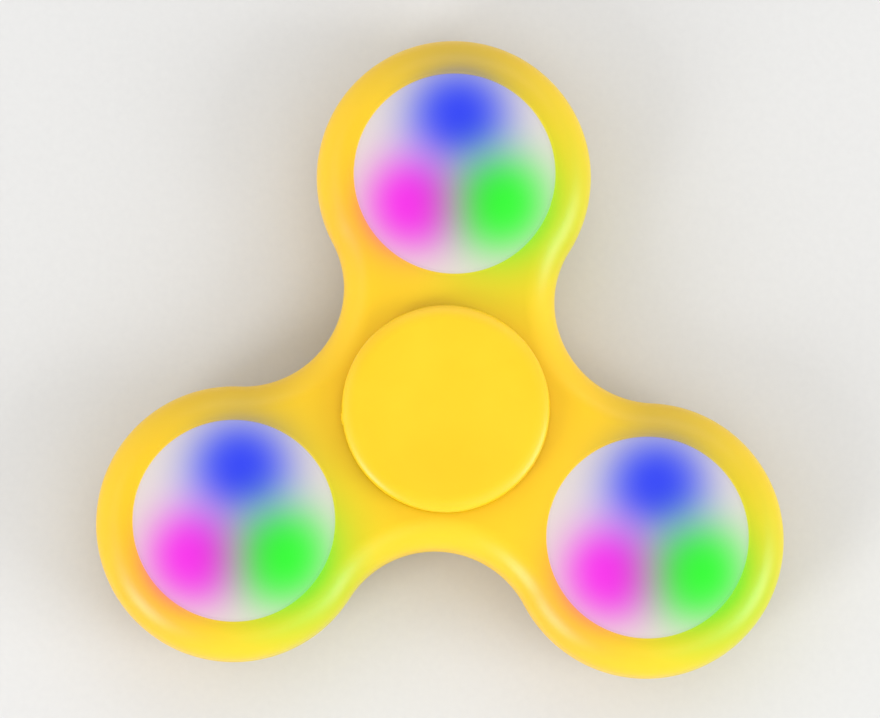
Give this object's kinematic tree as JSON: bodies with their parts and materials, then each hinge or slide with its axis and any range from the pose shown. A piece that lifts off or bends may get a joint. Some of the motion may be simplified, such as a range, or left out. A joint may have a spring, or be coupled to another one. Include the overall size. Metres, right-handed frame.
{
  "type": "fidget spinner",
  "caption": "Light-up fidget spinner: a flat round-edged lobed body spins on a ball bearing between dished finger caps, with a frosted light window in each lobe.",
  "frame": {"origin": "on the spin axis, in the plane of the lower finger cap's face, which stands on a table", "axes": "+Z is the spin axis and points out of the side with the light windows, +Y points along the first arm, and +X runs across the other two arms"},
  "size_m": [0.075, 0.069, 0.014],
  "materials": {
    "body_plastic": "satin injection-moulded ABS, bright yellow",
    "cap_plastic": "satin injection-moulded ABS, bright yellow",
    "bearing_steel": "ground bearing steel",
    "ball_steel": "polished bearing steel",
    "cage_nylon": "natural nylon",
    "lens_diffuser": "frosted translucent polycarbonate, lit from behind",
    "module_plastic": "fine spark-eroded white ABS",
    "board_laminate": "green solder mask on glass-fibre laminate",
    "chip_resin": "black epoxy drop",
    "led_blue": "clear resin over a blue emitter",
    "led_pink": "clear resin over a pink emitter",
    "led_green": "clear resin over a green emitter",
    "cell_steel": "nickel-plated steel cans",
    "contact_metal": "nickel-plated phosphor bronze strip",
    "switch_plastic": "black nylon",
    "plunger_plastic": "red nylon",
    "button_plastic": "smooth white ABS"
  },
  "bodies": {
    "hub": {"finger_cap_top": "cap_plastic", "finger_cap_bottom": "cap_plastic", "bearing_inner_ring": "bearing_steel"},
    "rotor": {"body": "body_plastic", "bearing_outer_ring": "bearing_steel", "bearing_shield_top": "bearing_steel", "bearing_shield_bottom": "bearing_steel", "lens_1": "lens_diffuser", "module_cup_1": "module_plastic", "circuit_board_1": "board_laminate", "driver_chip_1": "chip_resin", "led_blue_1": "led_blue", "led_pink_1": "led_pink", "led_green_1": "led_green", "button_cells_1": "cell_steel", "lower_contacts_1": "contact_metal", "upper_contacts_1": "contact_metal", "switch_body_1": "switch_plastic", "lens_2": "lens_diffuser", "module_cup_2": "module_plastic", "circuit_board_2": "board_laminate", "driver_chip_2": "chip_resin", "led_blue_2": "led_blue", "led_pink_2": "led_pink", "led_green_2": "led_green", "button_cells_2": "cell_steel", "lower_contacts_2": "contact_metal", "upper_contacts_2": "contact_metal", "switch_body_2": "switch_plastic", "lens_3": "lens_diffuser", "module_cup_3": "module_plastic", "circuit_board_3": "board_laminate", "driver_chip_3": "chip_resin", "led_blue_3": "led_blue", "led_pink_3": "led_pink", "led_green_3": "led_green", "button_cells_3": "cell_steel", "lower_contacts_3": "contact_metal", "upper_contacts_3": "contact_metal", "switch_body_3": "switch_plastic"},
    "cage": {"bearing_cage": "cage_nylon"},
    "ball_1": {"bearing_ball_1": "ball_steel"},
    "ball_2": {"bearing_ball_2": "ball_steel"},
    "ball_3": {"bearing_ball_3": "ball_steel"},
    "ball_4": {"bearing_ball_4": "ball_steel"},
    "ball_5": {"bearing_ball_5": "ball_steel"},
    "ball_6": {"bearing_ball_6": "ball_steel"},
    "ball_7": {"bearing_ball_7": "ball_steel"},
    "button_1": {"push_button_1": "button_plastic", "switch_plunger_1": "plunger_plastic"},
    "button_2": {"push_button_2": "button_plastic", "switch_plunger_2": "plunger_plastic"},
    "button_3": {"push_button_3": "button_plastic", "switch_plunger_3": "plunger_plastic"}
  },
  "joints": [
    {"name": "rotor_spin", "type": "hinge", "parent": "hub", "child": "rotor", "pos_m": [0, 0, 0.007], "axis": [0, 0, 1], "continuous": true},
    {"name": "cage_orbit", "type": "hinge", "parent": "hub", "child": "cage", "pos_m": [0, 0, 0.007], "axis": [0, 0, 1], "continuous": true},
    {"name": "ball_roll_1", "type": "hinge", "parent": "cage", "child": "ball_1", "pos_m": [0.0075, 0, 0.007], "axis": [0, 0, 1], "continuous": true},
    {"name": "ball_roll_2", "type": "hinge", "parent": "cage", "child": "ball_2", "pos_m": [0.00468, 0.00586, 0.007], "axis": [0, 0, 1], "continuous": true},
    {"name": "ball_roll_3", "type": "hinge", "parent": "cage", "child": "ball_3", "pos_m": [-0.00167, 0.00731, 0.007], "axis": [0, 0, 1], "continuous": true},
    {"name": "ball_roll_4", "type": "hinge", "parent": "cage", "child": "ball_4", "pos_m": [-0.00676, 0.00325, 0.007], "axis": [0, 0, 1], "continuous": true},
    {"name": "ball_roll_5", "type": "hinge", "parent": "cage", "child": "ball_5", "pos_m": [-0.00676, -0.00325, 0.007], "axis": [0, 0, 1], "continuous": true},
    {"name": "ball_roll_6", "type": "hinge", "parent": "cage", "child": "ball_6", "pos_m": [-0.00167, -0.00731, 0.007], "axis": [0, 0, 1], "continuous": true},
    {"name": "ball_roll_7", "type": "hinge", "parent": "cage", "child": "ball_7", "pos_m": [0.00468, -0.00586, 0.007], "axis": [0, 0, 1], "continuous": true},
    {"name": "button_press_1", "type": "slide", "parent": "rotor", "child": "button_1", "axis": [0, 0, 1], "range_m": [0, 0.0003], "stiffness_N_per_m": 2000, "springref_m": -0.0002},
    {"name": "button_press_2", "type": "slide", "parent": "rotor", "child": "button_2", "axis": [0, 0, 1], "range_m": [0, 0.0003], "stiffness_N_per_m": 2000, "springref_m": -0.0002},
    {"name": "button_press_3", "type": "slide", "parent": "rotor", "child": "button_3", "axis": [0, 0, 1], "range_m": [0, 0.0003], "stiffness_N_per_m": 2000, "springref_m": -0.0002}
  ],
  "couplings": [
    {"joint": "cage_orbit", "follows": "rotor_spin", "ratio": 0.63227},
    {"joint": "ball_roll_1", "follows": "rotor_spin", "ratio": 1.7579},
    {"joint": "ball_roll_2", "follows": "rotor_spin", "ratio": 1.7579},
    {"joint": "ball_roll_3", "follows": "rotor_spin", "ratio": 1.7579},
    {"joint": "ball_roll_4", "follows": "rotor_spin", "ratio": 1.7579},
    {"joint": "ball_roll_5", "follows": "rotor_spin", "ratio": 1.7579},
    {"joint": "ball_roll_6", "follows": "rotor_spin", "ratio": 1.7579},
    {"joint": "ball_roll_7", "follows": "rotor_spin", "ratio": 1.7579}
  ]
}
